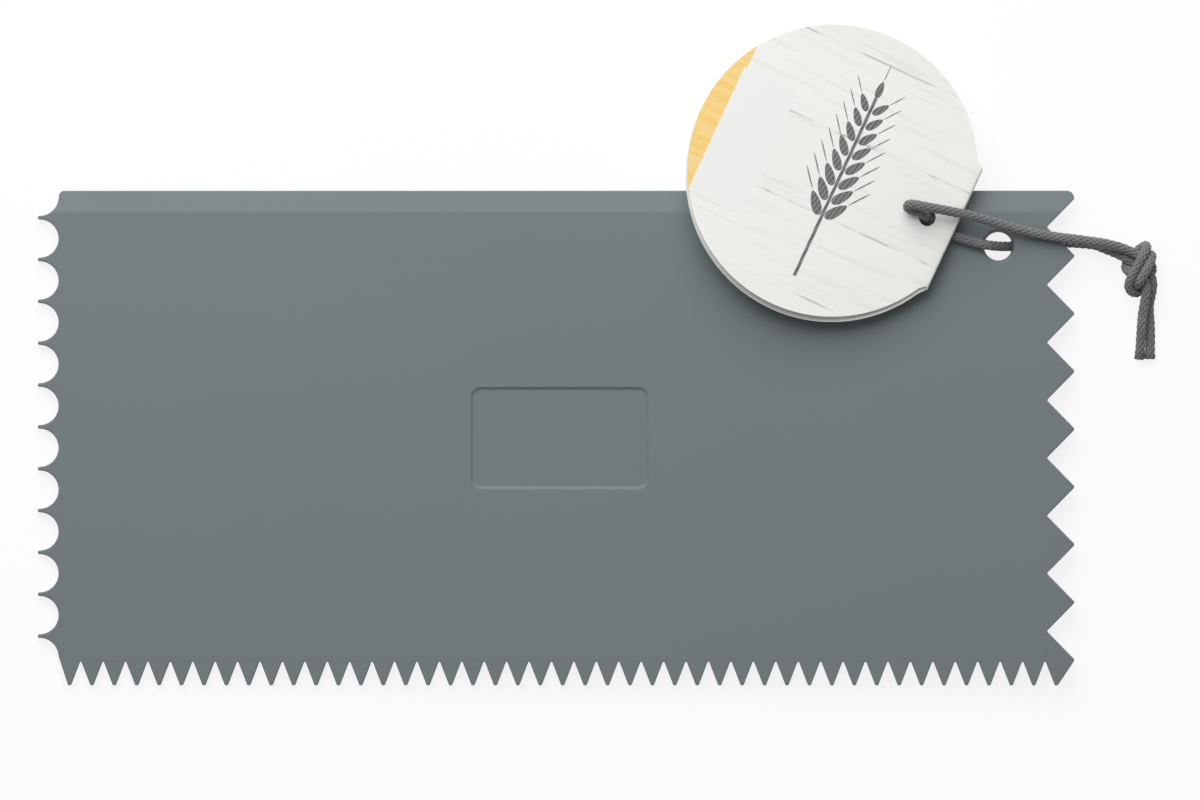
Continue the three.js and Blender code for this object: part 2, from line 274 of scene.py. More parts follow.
def feed(slot, value):
    """Links a Field or another socket to an input, or sets the input's own value."""
    if isinstance(value, Field):
        value = value.socket
    if isinstance(value, bpy.types.NodeSocket):
        slot.id_data.links.new(value, slot)
    else:
        slot.default_value = value


def put(tree, kind, inputs=None, **settings):
    """Adds a node with its own settings, and feeds its inputs by name or number."""
    node = tree.nodes.new(kind)
    for name, value in settings.items():
        setattr(node, name, value)
    for name, value in (inputs or {}).items():
        feed(node.inputs[name], value)
    return node


def out(node, name=0):
    return Field(node.outputs[name])


def made(tree, kind, inputs=None, **settings):
    """The first output of a new node."""
    return out(put(tree, kind, inputs, **settings))


def vector(tree, x, y, z=0.0):
    return made(tree, "ShaderNodeCombineXYZ", {"X": x, "Y": y, "Z": z})


def flat_parts(place):
    """The X and Y of a vector."""
    split = put(place.tree, "ShaderNodeSeparateXYZ", {0: place})
    return out(split, "X"), out(split, "Y")


def scaled(direction, factor):
    return made(factor.tree, "ShaderNodeVectorMath", {0: direction, "Scale": factor}, operation="SCALE")


def ramp(value, start, end, low, high):
    """Value from start to end, turned into low to high, with soft ends."""
    inputs = {"Value": value, "From Min": start, "From Max": end, "To Min": low, "To Max": high}
    return made(value.tree, "ShaderNodeMapRange", inputs, interpolation_type="SMOOTHSTEP", clamp=True)


def linear(colour):
    """A colour as written on screen, in the renderer's own scale with full alpha."""
    return (*Color(colour).from_srgb_to_scene_linear(), 1.0)


def new_group(kind, name, inputs, outputs):
    """A node group with named inputs and outputs: returns the group and a Field for each input."""
    group = bpy.data.node_groups.new(name, kind)
    for way, sockets in (("INPUT", inputs), ("OUTPUT", outputs)):
        for label, socket in sockets.items():
            group.interface.new_socket(label, in_out=way, socket_type=f"NodeSocket{socket}")
    entry = group.nodes.new("NodeGroupInput")
    return group, {label: out(entry, label) for label in inputs}


# Geometry Nodes helpers


def new_tree(name, inputs):
    """A tree with a named input for each value: returns the tree and a Field for each input."""
    kinds = {float: "Float", int: "Int"}
    sockets = {label: kinds.get(type(value), "Material") for label, value in inputs.items()}
    return new_group("GeometryNodeTree", name, {"Geometry": "Geometry", **sockets}, {"Geometry": "Geometry"})


def end_tree(geometry, material):
    """Puts in the last nodes of every tree, and returns the tree."""
    tree = geometry.tree
    real = made(tree, "GeometryNodeRealizeInstances", {"Geometry": geometry})
    dressed = made(tree, "GeometryNodeSetMaterial", {"Geometry": real, "Material": material})
    put(tree, "NodeGroupOutput", {"Geometry": dressed})
    return tree


def new_object(name, data):
    data.name = name
    thing = bpy.data.objects.new(name, data)
    bpy.context.scene.collection.objects.link(thing)
    return thing


def plain_mesh(thing):
    """What an object's modifiers make of its mesh."""
    return bpy.data.meshes.new_from_object(thing.evaluated_get(bpy.context.evaluated_depsgraph_get()))


def finish_modifiers(thing):
    """Turns a piece's modifiers into its plain mesh."""
    mesh = plain_mesh(thing)
    thing.modifiers.clear()
    thing.data = mesh


def sizes_of(settings):
    """The single numbers of a settings group, by the names a user sees."""
    rows = [row for row in settings.bl_rna.properties if row.type in {"FLOAT", "INT"} and not row.is_array]
    return {row.name: getattr(settings, row.identifier) for row in rows}


def run_tree(make_tree, settings, material, source=None):
    """Runs a tree with a settings group and a material as its inputs, and returns a plain mesh."""
    inputs = {**sizes_of(settings), "Material": material}
    tree = make_tree(inputs)
    carrier = new_object(tree.name, source or bpy.data.meshes.new(tree.name))
    modifier = carrier.modifiers.new(tree.name, "NODES")
    modifier.node_group = tree
    for item in tree.interface.items_tree:
        if item.in_out == "INPUT" and item.name in inputs:
            modifier[item.identifier] = inputs[item.name]
    mesh = plain_mesh(carrier)
    carrier.modifiers.remove(modifier)
    bpy.data.objects.remove(carrier)
    return mesh


def move_points(mesh, place):
    """Moves every point of a mesh by a function of all its places."""
    points = np.empty(len(mesh.vertices) * 3)
    mesh.vertices.foreach_get("co", points)
    mesh.vertices.foreach_set("co", place(points.reshape(-1, 3)).ravel())
    mesh.update()


def joined(*parts):
    node = put(parts[0].tree, "GeometryNodeJoinGeometry")
    for part in parts:
        feed(node.inputs[0], part)
    return out(node)


def stored(geometry, name, value, domain="POINT"):
    inputs = {"Geometry": geometry, "Name": name, "Value": value}
    return made(geometry.tree, "GeometryNodeStoreNamedAttribute", inputs, data_type="FLOAT", domain=domain)


def named(tree, name):
    return made(tree, "GeometryNodeInputNamedAttribute", {"Name": name}, data_type="FLOAT")


def index_in(tree):
    return made(tree, "GeometryNodeInputIndex")


def choice(index, *values):
    """One of the values, by index."""
    node = put(index.tree, "GeometryNodeIndexSwitch", data_type="FLOAT")
    while len(node.index_switch_items) < len(values):
        node.index_switch_items.new()
    feed(node.inputs["Index"], index)
    for number, value in enumerate(values):
        feed(node.inputs[str(number)], value)
    return out(node)


def placed(geometry, **where):
    """The geometry at a Position, or moved by an Offset."""
    return made(geometry.tree, "GeometryNodeSetPosition", {"Geometry": geometry, **where})


def point_row(count, x, y, rounding, order):
    """Points of one stretch of an outline, with the rounding at each and its place in the whole."""
    row = made(x.tree, "GeometryNodePoints", {"Count": count, "Position": vector(x.tree, x, y)})
    return stored(stored(row, "rounding", rounding), "order", order)


def outline(*rows, closed=True):
    """One line through all the rows of points, in their order."""
    tree = rows[0].tree
    inputs = {"Points": joined(*rows), "Weight": named(tree, "order")}
    line = made(tree, "GeometryNodePointsToCurves", inputs)
    line = made(tree, "GeometryNodeCurveSplineType", {"Curve": line}, spline_type="POLY")
    return made(tree, "GeometryNodeSetSplineCyclic", {"Geometry": line, "Cyclic": closed})


def upright(line):
    """The line with its normals level, so that a section swept along it stands upright."""
    return made(line.tree, "GeometryNodeSetCurveNormal", {"Curve": line}, mode="Z_UP")


def filleted(line, count):
    inputs = {"Curve": line, "Count": count, "Radius": named(line.tree, "rounding"), "Limit Radius": True}
    return upright(made(line.tree, "GeometryNodeFilletCurve", inputs, mode="POLY"))


def circle(points, radius):
    return made(radius.tree, "GeometryNodeCurvePrimitiveCircle", {"Resolution": points, "Radius": radius})


def inset(line, distance):
    """The line moved in from the edge by a distance."""
    return placed(line, Offset=scaled(made(line.tree, "GeometryNodeInputNormal"), distance * -1))


def filled(height, *lines):
    """A flat face inside the lines, at a height."""
    tree = lines[0].tree
    # Filling works at a thousand times the size, to hold fine edges.
    big = made(tree, "GeometryNodeTransform", {"Geometry": joined(*lines), "Scale": (1 / MM,) * 3})
    face = made(tree, "GeometryNodeFillCurve", {"Curve": big}, mode="TRIANGLES")
    inputs = {"Geometry": face, "Scale": (MM,) * 3, "Translation": vector(tree, 0.0, 0.0, height)}
    return made(tree, "GeometryNodeTransform", inputs)


def swept(line, profile, caps=False):
    inputs = {"Curve": line, "Profile Curve": profile, "Fill Caps": caps}
    return made(line.tree, "GeometryNodeCurveToMesh", inputs)


# Blade

ARC_POINTS = 11
FILLET_POINTS = 3
CORNER_POINTS = 12
PANEL_CORNER_POINTS = 8
HOLE_POINTS = 48
ROUND_STEPS = 4
WALL_STEPS = 8
WELD = 0.002 * MM
CREASE = 0.35 * MM
CREASE_CUTS = (-1, -0.5, 0, 0.5, 1)
FACE_WEIGHT = 80

# Where each stretch starts in the order of the outline's points. The upper left corner has 0.
SPIKES_FROM = 1000
FINE_FROM = 2000
VEES_FROM = 3000
RIGHT_CORNER = 9000.0


def spaced(span, pitch):
    """How many gaps of about a pitch a span takes, and the pitch that fits them exactly."""
    gaps = (span / pitch).nearest()
    return gaps, span / gaps


def spike_row(g, left, top, bottom):
    """Scallops between the spikes, from the straight edge down, with half a scallop at each end."""
    index = index_in(left.tree)
    first = top - g["First spike"]
    gaps, pitch = spaced(first - bottom - g["Last spike"], g["Spike pitch"])
    half_gap = (pitch - g["Spike tip"]) * 0.5
    depth = g["Scallop depth"]
    radius = (half_gap * half_gap + depth * depth) / (depth * 2)
    centre = left + depth - radius
    reach = half_gap.apply("ARCTAN2", left - centre)
    scallop = (index / ARC_POINTS).whole()
    step = index % ARC_POINTS
    middle = (ARC_POINTS - 1) / 2
    swing = reach * (1 - step / middle)
    x = centre + radius * swing.cos()
    y = first + pitch * 0.5 - scallop * pitch + radius * swing.sin()
    last = (gaps + 1) * ARC_POINTS + middle
    at_tip = (step < 0.5) + (step > ARC_POINTS - 1.5)
    at_corner = (index < middle + 0.5) + (index > last - 0.5)
    rounding = radius + (g["Tip rounding"] - radius) * (at_tip + at_corner)
    row = point_row((gaps + 2) * ARC_POINTS, x, y, rounding, index + SPIKES_FROM)
    past = (index < middle) + (index > last)
    inputs = {"Geometry": row, "Selection": past}
    return made(row.tree, "GeometryNodeDeleteGeometry", inputs, domain="POINT")


def fine_row(g, left, right, bottom):
    """Fine teeth along the bottom edge, from left to right: two points at each tip and two at each root."""
    index = index_in(left.tree)
    first = left + g["First fine tooth"]
    gaps, pitch = spaced(right - g["Last fine tooth"] - first, g["Fine pitch"])
    tip, root = g["Fine tip"] * 0.5, g["Fine root"] * 0.5
    corner = index % 4
    across = choice(corner, tip * -1, tip, pitch * 0.5 - root, pitch * 0.5 + root)
    x = first + (index / 4).whole() * pitch + across
    y = bottom + g["Fine depth"] * (corner > 1.5)
    return point_row(gaps * 4 + 2, x, y, g["Tip rounding"], index + FINE_FROM)


def vee_row(g, right, top, bottom):
    """V teeth up the right edge: two points at each tip and one at each root.

    The topmost tooth is the rounded corner of the blade.
    """
    index = index_in(right.tree)
    first = bottom + g["Last V tooth"]
    gaps, pitch = spaced(top - g["Right corner"] - first, g["V pitch"])
    tip = g["V tip"] * 0.5
    corner = index % 3
    y = first + (index / 3).whole() * pitch + choice(corner, tip * -1, tip, pitch * 0.5)
    x = right - g["V depth"] * (corner > 1.5)
    return point_row(gaps * 3 + 1, x, y, g["Tip rounding"], index + VEES_FROM)


def panel_line(g):
    """The rim of the sunk panel."""
    wall = g["Panel wall"]
    index = index_in(wall.tree)
    x = (g["Panel length"] * 0.5 + wall) * choice(index, -1.0, 1.0, 1.0, -1.0) + g["Panel off middle"]
    y = (g["Panel width"] * 0.5 + wall) * choice(index, -1.0, -1.0, 1.0, 1.0)
    row = point_row(4, x, y, g["Panel corner"] + wall, index)
    return filleted(outline(row), PANEL_CORNER_POINTS)


def side_profile(thickness, radius, draft):
    """Section of the plate's edge: a wall that may lean out by a draft, with a quarter round at each end."""
    index = index_in(thickness.tree)
    lower = index > ROUND_STEPS + 0.5
    swing = (index - lower * (ROUND_STEPS + 1)) * (math.pi / 2 / ROUND_STEPS)
    upper_x, upper_z = swing.sin(), thickness - radius + radius * swing.cos()
    lower_x, lower_z = swing.cos(), radius - radius * swing.sin()
    x = radius * (upper_x + (lower_x - upper_x) * lower) - radius + lower * draft
    height = upper_z + (lower_z - upper_z) * lower
    return outline(point_row(2 * ROUND_STEPS + 2, x, height * -1, 0.0, index), closed=False)


def wall_profile(g):
    """Section of the panel's wall: a slope, rounded at its rim and at the floor."""
    index = index_in(g["Thickness"].tree)
    share = index / WALL_STEPS
    height = g["Thickness"] - g["Panel depth"] * ramp(share, 0.0, 1.0, 0.0, 1.0)
    row = point_row(WALL_STEPS + 1, g["Panel wall"] * share * -1, height * -1, 0.0, index)
    return outline(row, closed=False)


def blade_tree(inputs):
    """The plate with its four edges, the hanging hole and the sunk panel, all with rounded rims."""
    tree, g = new_tree("comb_blade", inputs)
    thickness = g["Thickness"]
    left, right = g["Length"] * -0.5, g["Length"] * 0.5
    top, bottom = g["Width"] * 0.5, g["Width"] * -0.5
    line = outline(
        point_row(1, left + g["Scallop depth"], top, g["Left corner"], 0.0),
        spike_row(g, left, top, bottom),
        fine_row(g, left, right, bottom),
        vee_row(g, right, top, bottom),
        point_row(1, right, top, g["Right corner"], RIGHT_CORNER),
    )
    order = named(tree, "order")
    at_corner = (order < 0.5) + (order > RIGHT_CORNER - 0.5)
    edge = filleted(line, FILLET_POINTS + at_corner * (CORNER_POINTS - FILLET_POINTS))
    place = vector(tree, right - g["Hole from right"], top - g["Hole from top"])
    ring = placed(circle(HOLE_POINTS, g["Hole diameter"] * 0.5), Offset=place)
    hole = upright(made(tree, "GeometryNodeReverseCurve", {"Curve": ring}))
    panel = panel_line(g)
    rim = inset(edge, g["Edge rounding"])
    whole = joined(
        filled(thickness, rim, inset(hole, g["Hole rim"]), panel),
        filled(thickness - g["Panel depth"], inset(panel, g["Panel wall"])),
        filled(0.0, rim, inset(hole, g["Hole rim"] - g["Hole draft"])),
        swept(edge, side_profile(thickness, g["Edge rounding"], 0.0)),
        swept(hole, side_profile(thickness, g["Hole rim"], g["Hole draft"])),
        swept(panel, wall_profile(g)),
    )
    welded = made(tree, "GeometryNodeMergeByDistance", {"Geometry": whole, "Distance": WELD})
    return end_tree(welded, g["Material"])


def bevel_drop(settings, y):
    """How far the bevel takes the face down, with a soft crease at its lower edge."""
    slope = (settings.thickness - settings.bevel_edge) / settings.bevel_width
    run = y - (settings.width / 2 - settings.bevel_width)
    if run <= -CREASE:
        return 0.0
    if run >= CREASE:
        return slope * run
    return slope * (run + CREASE) ** 2 / (4 * CREASE)


def cut_bevel(mesh, settings):
    """Cuts the face along the bevel's crease, and lowers what lies beyond it."""
    solid = bmesh.new()
    solid.from_mesh(mesh)
    line = settings.width / 2 - settings.bevel_width
    for offset in CREASE_CUTS:
        geometry = solid.verts[:] + solid.edges[:] + solid.faces[:]
        place = (0, line + offset * CREASE, 0)
        bmesh.ops.bisect_plane(solid, geom=geometry, plane_co=place, plane_no=(0, 1, 0), dist=WELD)
    for corner in solid.verts:
        if corner.co.z > settings.thickness / 2:
            corner.co.z -= bevel_drop(settings, corner.co.y)
    bmesh.ops.recalc_face_normals(solid, faces=solid.faces[:])
    for face in solid.faces:
        face.smooth = True
    solid.to_mesh(mesh)
    solid.free()


class SCRAPER_OT_blade(bpy.types.Operator):
    """Makes the plastic blade with its four working edges"""

    bl_idname = "scraper.blade"
    bl_label = "Make Blade"

    def execute(self, context):
        settings = context.scene.scraper
        mesh = run_tree(blade_tree, settings.blade, plastic_material(settings.blade))
        cut_bevel(mesh, settings.blade)
        move_points(mesh, Places(settings).leaned)
        blade = new_object("blade_moulding", mesh)
        blade.modifiers.new("Flat faces", "WEIGHTED_NORMAL").weight = FACE_WEIGHT
        finish_modifiers(blade)
        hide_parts("blade")
        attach(blade, "blade")
        return {"FINISHED"}


# Tag


class Leaf:
    """The folded card: places on its two leaves and round its fold."""

    FOLD_STEPS = 8
    FOLD_POINTS = 16
    RIM_POINTS = 150
    HOLE_POINTS = 32
    SPACING = 2.2 * MM
    MARGIN = 0.8 * MM
    SPREAD = range(-40, 41)
    SNAP = 1e-5
    BOW_AT_SIDES = 1.5
    BOW_AT_END = 0.5

    def __init__(self, settings):
        self.tag = settings.tag
        self.places = Places(settings)
        self.bend = (self.tag.leaf_gap + self.tag.card) / 2
        self.fold_turn = math.pi - self.tag.leaf_lift
        heading = np.array([FOLD_DIRECTION[1], -FOLD_DIRECTION[0]])
        self.across = heading / np.linalg.norm(heading)
        self.along = np.array([-self.across[1], self.across[0]])
        self.middle = self.places.tag_hole + self.across * self.tag.hole_from_fold

    def in_row(self, away, along, height):
        """From distances past the fold, along it and above the blade to the row frame."""
        flat = self.middle + np.multiply.outer(away, self.across) + np.multiply.outer(along, self.along)
        return self.places.leaned(np.concatenate([flat, np.asarray(height)[..., None]], -1))

    def turned(self, inward, along, rise, lift):
        """Places on a leaf turned up by an angle about the fold, and standing off it by a rise."""
        away = rise * math.sin(lift) - inward * math.cos(lift)
        height = rise * math.cos(lift) + inward * math.sin(lift)
        return self.in_row(away, along, self.places.fold + height)

    def front(self, inward, along, above=0.0):
        """Places on the middle of the front leaf, or above it."""
        side = np.clip(inward / (2 * self.tag.radius), 0, 1)
        curl = self.BOW_AT_SIDES * (along / self.tag.radius) ** 2 - self.BOW_AT_END * side
        bow = self.tag.bow * side * curl
        return self.turned(inward, along, self.bend + above + bow, self.tag.tilt + self.tag.leaf_lift)

    def back(self, inward, along):
        """Places on the middle of the back leaf."""
        return self.turned(inward, along, -self.bend, self.tag.tilt)

    def round_fold(self, share, along):
        """Places round the fold, from the back leaf to the front one."""
        turn = share * self.fold_turn - math.pi / 2 - self.tag.tilt
        away = np.full(np.shape(along), self.bend * math.cos(turn))
        height = np.full(np.shape(along), self.places.fold + self.bend * math.sin(turn))
        return self.in_row(away, along, height)

    def sheet(self, shift, from_centre):
        """Points and triangles of one flat leaf: distance in from the fold, and along it."""
        tag = self.tag
        punched = tag.hole_diameter / 2
        shoulder = math.asin(tag.fold_length / 2 / tag.radius)
        steps = [i / self.FOLD_POINTS - 0.5 for i in range(self.FOLD_POINTS)]
        fold = [(0, shift + tag.fold_length * step) for step in steps]
        turn = np.linspace(shoulder, 2 * math.pi - shoulder, self.RIM_POINTS)
        rim = [(from_centre - tag.radius * math.cos(a), shift + tag.radius * math.sin(a)) for a in turn]
        # The rim starts exactly on the end of the fold.
        rim[0] = (0, shift + tag.fold_length / 2)
        ring = np.linspace(0, 2 * math.pi, self.HOLE_POINTS, endpoint=False)
        hole = [(tag.hole_from_fold + punched * math.cos(a), punched * math.sin(a)) for a in ring]
        points, edges = [], []
        for loop in (fold + rim[:-1], hole):
            start = len(points)
            points += loop
            edges += [(start + i, start + (i + 1) % len(loop)) for i in range(len(loop))]
        points += self.inner_points(shift, from_centre)
        in_mm = [(x / MM, y / MM) for x, y in points]
        flat, _, triangles, *_ = delaunay_2d_cdt(in_mm, edges, [], 1, self.SNAP)
        flat = np.array([tuple(p) for p in flat]) * MM
        middles = flat[np.array(triangles)].mean(axis=1)
        from_hole = np.hypot(middles[:, 0] - tag.hole_from_fold, middles[:, 1])
        return flat, [triangle for triangle, distance in zip(triangles, from_hole) if distance > punched]

    def inner_points(self, shift, from_centre):
        """An even spread of points inside the leaf, so that it bows smoothly."""
        tag = self.tag
        points = []
        for row in self.SPREAD:
            for column in self.SPREAD:
                inward = from_centre + (row + (column % 2) / 2) * self.SPACING
                along = shift + column * self.SPACING * math.sin(math.pi / 3)
                inside = math.hypot(inward - from_centre, along - shift) < tag.radius - self.MARGIN
                clear = math.hypot(inward - tag.hole_from_fold, along) > tag.hole_diameter / 2 + self.MARGIN
                if inside and clear and inward > self.MARGIN:
                    points.append((inward, along))
        return points


def card_mesh(leaf):
    """The folded sheet, printed side out, with its flat place on the card as a map."""
    tag = leaf.tag
    shell = bmesh.new()
    where = shell.verts.layers.float_vector.new("flat")
    folds = {}
    half_turn = leaf.bend * leaf.fold_turn
    sheets = {
        "front": leaf.sheet(tag.hole_off_middle, tag.fold_from_centre),
        "back": leaf.sheet(tag.hole_off_middle - tag.leaf_shift, tag.fold_from_centre - tag.fold_off_middle),
    }
    for name, (flat, triangles) in sheets.items():
        inward, along = flat[:, 0], flat[:, 1]
        places = leaf.front(inward, along) if name == "front" else leaf.back(inward, along)
        corners = [shell.verts.new(p) for p in places]
        for corner, depth, side in zip(corners, inward, along):
            past_fold = -depth if name == "front" else half_turn + depth
            corner[where] = (tag.fold_from_centre + past_fold, side, 0)
        for triangle in triangles:
            turned = triangle if name == "back" else triangle[::-1]
            shell.faces.new([corners[i] for i in turned])
        on_fold = [c for c, depth in zip(corners, inward) if depth < WELD]
        folds[name] = sorted(on_fold, key=lambda c: c[where][1])
    rows = [folds["back"]]
    back, front = (np.array([c[where][1] for c in folds[name]]) for name in ("back", "front"))
    for step in range(1, leaf.FOLD_STEPS):
        share = step / leaf.FOLD_STEPS
        along = back + (front - back) * share
        row = [shell.verts.new(p) for p in leaf.round_fold(share, along)]
        for corner, side in zip(row, along):
            corner[where] = (tag.fold_from_centre + half_turn * (1 - share), side, 0)
        rows.append(row)
    rows.append(folds["front"])
    for lower, upper in zip(rows, rows[1:]):
        for i in range(len(lower) - 1):
            shell.faces.new([lower[i], lower[i + 1], upper[i + 1], upper[i]])
    card_map = shell.loops.layers.uv.new("card")
    for face in shell.faces:
        face.smooth = True
        for loop in face.loops:
            loop[card_map].uv = loop.vert[where].xy
    mesh = bpy.data.meshes.new("tag_card")
    shell.to_mesh(mesh)
    shell.free()
    return mesh


SHARP_EDGE = math.radians(40)


class SCRAPER_OT_tag(bpy.types.Operator):
    """Makes the folded card tag"""

    bl_idname = "scraper.tag"
    bl_label = "Make Tag"

    def execute(self, context):
        settings = context.scene.scraper
        leaf = Leaf(settings)
        card = new_object("tag_card", card_mesh(leaf))
        card.data.materials.append(printed_material(settings.tag))
        card.data.materials.append(plain_card_material(settings.tag))
        thickness = card.modifiers.new("Card", "SOLIDIFY")
        thickness.thickness = settings.tag.card
        thickness.offset = 0
        thickness.material_offset = 1
        thickness.material_offset_rim = 1
        finish_modifiers(card)
        card.data.set_sharp_from_angle(angle=SHARP_EDGE)
        gap = settings.tag.leaf_gap / 2
        between = settings.tag.tilt + settings.tag.leaf_lift / 2
        start, end = leaf.turned(np.zeros(2), np.zeros(2), np.array([-gap, gap]), between)
        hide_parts("tag_back_leaf", "tag_front_leaf")
        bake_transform(card)
        return {"FINISHED"}


INK_THICKNESS = 0.02 * MM
INK_WELD = WELD / 4
EAR_MIDDLE = 26.5 * MM
STEM_WIDTH = 0.7 * MM
STEM_POINTS = 16
STEM_FOOT = -0.5
EAR_FOOT = -0.2
EAR_TOP = 0.4
EAR_TAPER = 0.3
GRAIN_SPREAD = math.radians(38)
GRAIN_POINTS = 14
GRAIN_TAPER = 0.3
AWN_WIDTH = 0.07
AWN_PLACE = 3.05


def grain_shape(g):
    """One grain with its awn, standing on the origin."""
    width, length = g["Grain width"], g["Grain length"]
    tree = width.tree
    disc = made(tree, "GeometryNodeMeshCircle", {"Vertices": GRAIN_POINTS, "Radius": 1.0}, fill_type="NGON")
    across, up = flat_parts(made(tree, "GeometryNodeInputPosition"))
    grain = vector(tree, across * (1 - up * GRAIN_TAPER) * width * 0.5, (up + 1) * length * 0.5)
    awn = vector(tree, across * width * AWN_WIDTH, (up + AWN_PLACE) * length * 0.5)
    return joined(placed(disc, Position=grain), placed(disc, Position=awn))


def ear_tree(inputs):
    """A printed ear of wheat: grains in pairs up a stem and one at its tip, as one flat sheet of ink."""
    tree, g = new_tree("wheat_ear", inputs)
    index = index_in(tree)
    pairs, length = g["Grain pairs"], g["Ear length"]
    pair = (index / 2).whole()
    side = (1 - (index % 2) * 2) * (pair < pairs)
    share = pair / pairs
    place = vector(tree, side * STEM_WIDTH, length * (share * (EAR_TOP - EAR_FOOT) + EAR_FOOT))
    turn = vector(tree, 0.0, 0.0, side * -GRAIN_SPREAD)
    scale = 1 - share * EAR_TAPER
    grains = made(tree, "GeometryNodeInstanceOnPoints", {
        "Points": made(tree, "GeometryNodePoints", {"Count": pairs * 2 + 1, "Position": place}),
        "Instance": grain_shape(g),
        "Rotation": made(tree, "FunctionNodeEulerToRotation", {0: turn}),
        "Scale": vector(tree, scale, scale, scale),
    })
    rod = made(tree, "GeometryNodeMeshGrid", {
        "Size X": STEM_WIDTH,
        "Size Y": length * (EAR_TOP - STEM_FOOT),
        "Vertices X": 2,
        "Vertices Y": STEM_POINTS,
    })
    lowered = vector(tree, 0.0, length * (EAR_TOP + STEM_FOOT) * 0.5)
    stem = made(tree, "GeometryNodeTransform", {"Geometry": rod, "Translation": lowered})
    flat = made(tree, "GeometryNodeRealizeInstances", {"Geometry": joined(grains, stem)})
    raised = made(tree, "GeometryNodeExtrudeMesh", {
        "Mesh": flat,
        "Offset": (0, 0, 1),
        "Offset Scale": INK_THICKNESS,
        "Individual": False,
    })
    under = made(tree, "GeometryNodeFlipFaces", {"Mesh": flat})
    whole = {"Geometry": joined(raised, under), "Distance": INK_WELD}
    return end_tree(made(tree, "GeometryNodeMergeByDistance", whole), g["Material"])


class SCRAPER_OT_print(bpy.types.Operator):
    """Prints the ear of wheat on the front leaf"""

    bl_idname = "scraper.print"
    bl_label = "Print Tag"

    def execute(self, context):
        settings = context.scene.scraper
        leaf = Leaf(settings)
        mesh = run_tree(ear_tree, settings.tag, ink_material(settings.tag))
        face = settings.tag.card / 2

        def on_leaf(points):
            return leaf.front(EAR_MIDDLE - points[:, 0], points[:, 1], face + points[:, 2])

        move_points(mesh, on_leaf)
        ear = new_object("tag_print", mesh)
        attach(ear, "tag_front")
        return {"FINISHED"}


# Cord

LINE_STEPS = 12
EASE_ROUNDS = 8
KNOT_STEP = 0.5 * MM
KNOT_ROUNDS = 40
KNOT_PULLS = 10
KNOT_PULL = 0.06
KNOT_PUSHES = 3
KNOT_PUSH = 0.2
KNOT_PACKING = 0.88
KNOT_NEIGHBOURS = 1.6
KNOT_WATCH = 0.8 * MM
KNOT_OFF_TABLE = 0.06 * MM
KNOT_THINNING = 4


def smooth_line(points):
    """A Catmull-Rom line through the points."""
    p = np.array(points, float)
    p = np.vstack([2 * p[0] - p[1], p, 2 * p[-1] - p[-2]])
    t = (np.arange(LINE_STEPS) / LINE_STEPS)[:, None]
    line = []
    for a, b, c, d in zip(p, p[1:], p[2:], p[3:]):
        square, cube = 2 * a - 5 * b + 4 * c - d, 3 * (b - c) + d - a
        line.append(0.5 * (2 * b + (c - a) * t + square * t**2 + cube * t**3))
    return np.vstack([*line, p[-2:-1]])


def evenly(line, step):
    """The line again, with points a step apart."""
    along = np.concatenate([[0], np.cumsum(np.linalg.norm(np.diff(line, axis=0), axis=1))])
    at = np.linspace(0, along[-1], round(along[-1] / step) + 1)
    return np.stack([np.interp(at, along, line[:, k]) for k in range(3)], 1)


def eased(line):
    """The line with its small kinks taken out and its ends kept."""
    for _ in range(EASE_ROUNDS):
        line[1:-1] = (line[:-2] + 2 * line[1:-1] + line[2:]) / 4
    return line


def tightened(strands, apart, lowest):
    """Pulls two knotted strands tight, keeping them apart from each other and above the table."""
    strands = [evenly(strand, KNOT_STEP) for strand in strands]
    for _ in range(KNOT_ROUNDS):
        first = len(strands[0])
        x = np.vstack(strands)
        number = np.arange(len(x))
        same = (number < first)[:, None] == (number < first)[None]
        near = same & (np.abs(number[:, None] - number[None]) * KNOT_STEP < KNOT_NEIGHBOURS * apart)
        distance = np.linalg.norm(x[:, None] - x[None], axis=2)
        i, j = np.where(np.triu(~near & (distance < apart + KNOT_WATCH), 1))
        ends = [0, first - 1, first, len(x) - 1]
        held = x[ends].copy()
        for _ in range(KNOT_PULLS):
            pull = np.zeros_like(x)
            pull[1:-1] = (x[:-2] + x[2:]) / 2 - x[1:-1]
            pull[[first - 1, first]] = 0
            x += KNOT_PULL * pull
            for _ in range(KNOT_PUSHES):
                push = x[j] - x[i]
                length = np.linalg.norm(push, axis=1)
                push *= (np.minimum(length - apart, 0) * KNOT_PUSH / length)[:, None]
                np.add.at(x, i, push)
                np.add.at(x, j, -push)
            x[:, 2] = np.maximum(x[:, 2], lowest)
            x[ends] = held
        strands = [evenly(x[:first], KNOT_STEP), evenly(x[first:], KNOT_STEP)]
    return strands


